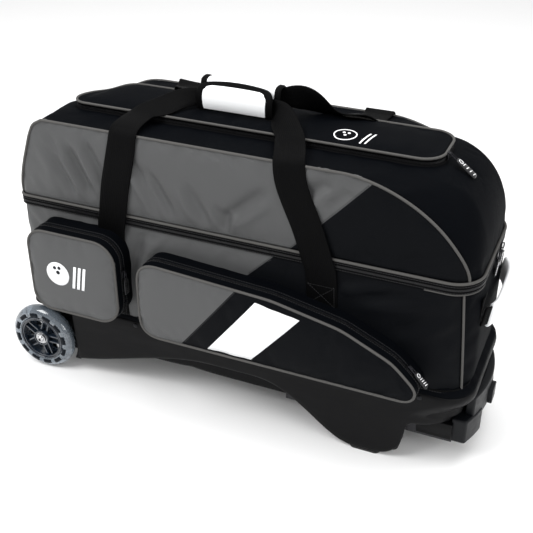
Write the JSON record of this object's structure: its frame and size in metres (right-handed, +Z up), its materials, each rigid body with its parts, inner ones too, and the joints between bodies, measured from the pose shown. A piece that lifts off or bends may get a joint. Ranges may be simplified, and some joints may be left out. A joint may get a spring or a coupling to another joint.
{
  "type": "rolling bowling bag",
  "caption": "Rolling bowling bag: fabric body on a moulded base with side wheels, pull-out handle, hinged upper compartment, lid, zip pockets and carry straps.",
  "frame": {"origin": "centre of the bounding box in plan, on the floor", "axes": "+X towards the pull-handle end, -Y towards the pockets, +Z up"},
  "size_m": [0.867, 0.308, 0.552],
  "materials": {
    "base_plastic": "moulded, fine texture",
    "handle_plastic": "moulded, satin",
    "skid_rubber": "matt",
    "axle_steel": "zinc plated",
    "tyre_pu": "smoky translucent polyurethane",
    "hub_plastic": "satin",
    "tube_steel": "satin black",
    "tube_aluminium": "anodised",
    "board": "matt",
    "foam": "closed cell foam",
    "lining": "woven",
    "grey_fabric": "coated polyester weave",
    "black_fabric": "ballistic polyester weave",
    "webbing": "ribbed webbing",
    "zip_tape": "woven tape",
    "piping": "satin vinyl",
    "white_vinyl": "smooth vinyl",
    "zip_metal": "black enamel"
  },
  "bodies": {
    "base": {"base_tray": "base_plastic", "rim_rivets": "base_plastic", "foot_skids": "skid_rubber", "wheel_axle": "axle_steel", "axle_nuts": "axle_steel", "axle_washers": "axle_steel", "front_outer_tube": "tube_steel", "rear_outer_tube": "tube_steel", "tube_collars": "base_plastic", "tube_screws": "axle_steel", "floor_board": "board", "ball_cup_left": "foam", "ball_cup_middle": "foam", "ball_cup_right": "foam", "ball_divider_left": "lining", "ball_divider_right": "lining", "lower_body": "black_fabric", "lower_zip_tape": "zip_tape", "left_pocket_body": "black_fabric", "right_pocket_body": "black_fabric", "front_strap_base": "webbing", "rear_strap_base": "webbing", "end_handle_tabs": "webbing"},
    "front_wheel": {"front_tyre": "tyre_pu", "front_hub": "hub_plastic", "front_bearings": "axle_steel"},
    "rear_wheel": {"rear_tyre": "tyre_pu", "rear_hub": "hub_plastic", "rear_bearings": "axle_steel"},
    "pull_handle": {"front_inner_tube": "tube_aluminium", "rear_inner_tube": "tube_aluminium", "front_handle_block": "handle_plastic", "rear_handle_block": "handle_plastic", "handle_grip": "handle_plastic", "button_spring": "axle_steel"},
    "button": {"release_button": "handle_plastic"},
    "upper_case": {"upper_body": "grey_fabric", "upper_floor": "lining", "upper_zip_tape": "piping", "lid_zip_tape": "zip_tape"},
    "lid_panel": {"lid": "black_fabric"},
    "front_carry": {"front_strap": "webbing", "wrap_flap": "white_vinyl"},
    "rear_carry": {"rear_strap": "webbing", "wrap_pad": "white_vinyl"},
    "left_cover": {"left_pocket_cover": "grey_fabric"},
    "right_cover": {"right_pocket_cover": "black_fabric"},
    "end_handle": {"end_handle_loop": "webbing", "end_handle_wrap": "white_vinyl"},
    "lid_zip": {"lid_slider": "zip_metal"},
    "lid_tab": {"lid_pull": "zip_metal"},
    "main_zip_front": {"main_slider_front": "zip_metal"},
    "main_tab_front": {"main_pull_front": "zip_metal"},
    "main_zip_rear": {"main_slider_rear": "zip_metal"},
    "main_tab_rear": {"main_pull_rear": "zip_metal"},
    "left_zip": {"left_pocket_slider": "zip_metal"},
    "left_tab": {"left_pocket_pull": "zip_metal"},
    "right_zip": {"right_pocket_slider": "zip_metal"},
    "right_tab": {"right_pocket_pull": "zip_metal"}
  },
  "joints": [
    {"name": "front_wheel_spin", "type": "hinge", "parent": "base", "child": "front_wheel", "pos_m": [-0.37, -0.101, 0.0635], "axis": [0, 1, 0], "continuous": true},
    {"name": "rear_wheel_spin", "type": "hinge", "parent": "base", "child": "rear_wheel", "pos_m": [-0.37, 0.139, 0.0635], "axis": [0, 1, 0], "continuous": true},
    {"name": "handle_extend", "type": "slide", "parent": "base", "child": "pull_handle", "axis": [1, 0, 0], "range_m": [0, 0.22]},
    {"name": "release_press", "type": "slide", "parent": "pull_handle", "child": "button", "axis": [-1, 0, 0], "range_m": [0, 0.004], "stiffness_N_per_m": 600, "deforming": ["button_spring"]},
    {"name": "upper_open", "type": "hinge", "parent": "base", "child": "upper_case", "pos_m": [-0.37, 0.139, 0.35], "axis": [-1, 0, 0], "range_deg": [0, 60]},
    {"name": "lid_open", "type": "hinge", "parent": "upper_case", "child": "lid_panel", "pos_m": [-0.37, 0.075, 0.502], "axis": [-1, 0, 0], "range_deg": [0, 45]},
    {"name": "front_carry_swing", "type": "hinge", "parent": "base", "child": "front_carry", "pos_m": [-0.37, -0.105, 0.345], "axis": [1, 0, 0], "range_deg": [0, 108]},
    {"name": "rear_carry_swing", "type": "hinge", "parent": "base", "child": "rear_carry", "pos_m": [-0.37, 0.143, 0.345], "axis": [-1, 0, 0], "range_deg": [0, 81]},
    {"name": "left_cover_open", "type": "hinge", "parent": "base", "child": "left_cover", "pos_m": [-0.37, -0.1326, 0.17], "axis": [1, 0, 0], "range_deg": [0, 60]},
    {"name": "right_cover_open", "type": "hinge", "parent": "base", "child": "right_cover", "pos_m": [-0.37, -0.1326, 0.162], "axis": [1, 0, 0], "range_deg": [0, 60]},
    {"name": "end_handle_lift", "type": "hinge", "parent": "base", "child": "end_handle", "pos_m": [0.4065, 0.019, 0.302], "axis": [0, -1, 0], "range_deg": [0, 35]},
    {"name": "lid_zip_slide", "type": "slide", "parent": "upper_case", "child": "lid_zip", "axis": [0, 1, 0], "range_m": [0, 0.045]},
    {"name": "lid_tab_swing", "type": "hinge", "parent": "lid_zip", "child": "lid_tab", "pos_m": [0.3218, -0.001, 0.5085], "axis": [0, -1, 0], "range_deg": [0, 60]},
    {"name": "main_zip_front_slide", "type": "slide", "parent": "base", "child": "main_zip_front", "axis": [0, -1, 0], "range_m": [0, 0.06]},
    {"name": "main_tab_front_swing", "type": "hinge", "parent": "main_zip_front", "child": "main_tab_front", "pos_m": [0.4078, 0.019, 0.354], "axis": [0, -1, 0], "range_deg": [0, 90]},
    {"name": "main_zip_rear_slide", "type": "slide", "parent": "base", "child": "main_zip_rear", "axis": [0, 1, 0], "range_m": [0, 0.035]},
    {"name": "main_tab_rear_swing", "type": "hinge", "parent": "main_zip_rear", "child": "main_tab_rear", "pos_m": [0.4078, 0.053, 0.354], "axis": [0, -1, 0], "range_deg": [0, 90]},
    {"name": "left_zip_slide", "type": "slide", "parent": "base", "child": "left_zip", "axis": [0, 0, 1], "range_m": [0, 0.028]},
    {"name": "left_tab_swing", "type": "hinge", "parent": "left_zip", "child": "left_tab", "pos_m": [-0.1642, -0.1323, 0.266], "axis": [0, -1, 0], "range_deg": [0, 35]},
    {"name": "right_zip_slide", "type": "slide", "parent": "base", "child": "right_zip", "axis": [-0.6947, 0, 0.7193], "range_m": [0, 0.015]},
    {"name": "right_tab_swing", "type": "hinge", "parent": "right_zip", "child": "right_tab", "pos_m": [0.32082, -0.1323, 0.21535], "axis": [0, -1, 0], "range_deg": [0, 70]}
  ],
  "couplings": [
    {"joint": "front_carry_swing", "follows": "upper_open", "ratio": 1.8},
    {"joint": "rear_carry_swing", "follows": "upper_open", "ratio": 1.35},
    {"joint": "lid_open", "follows": "upper_open", "ratio": 0.75}
  ]
}
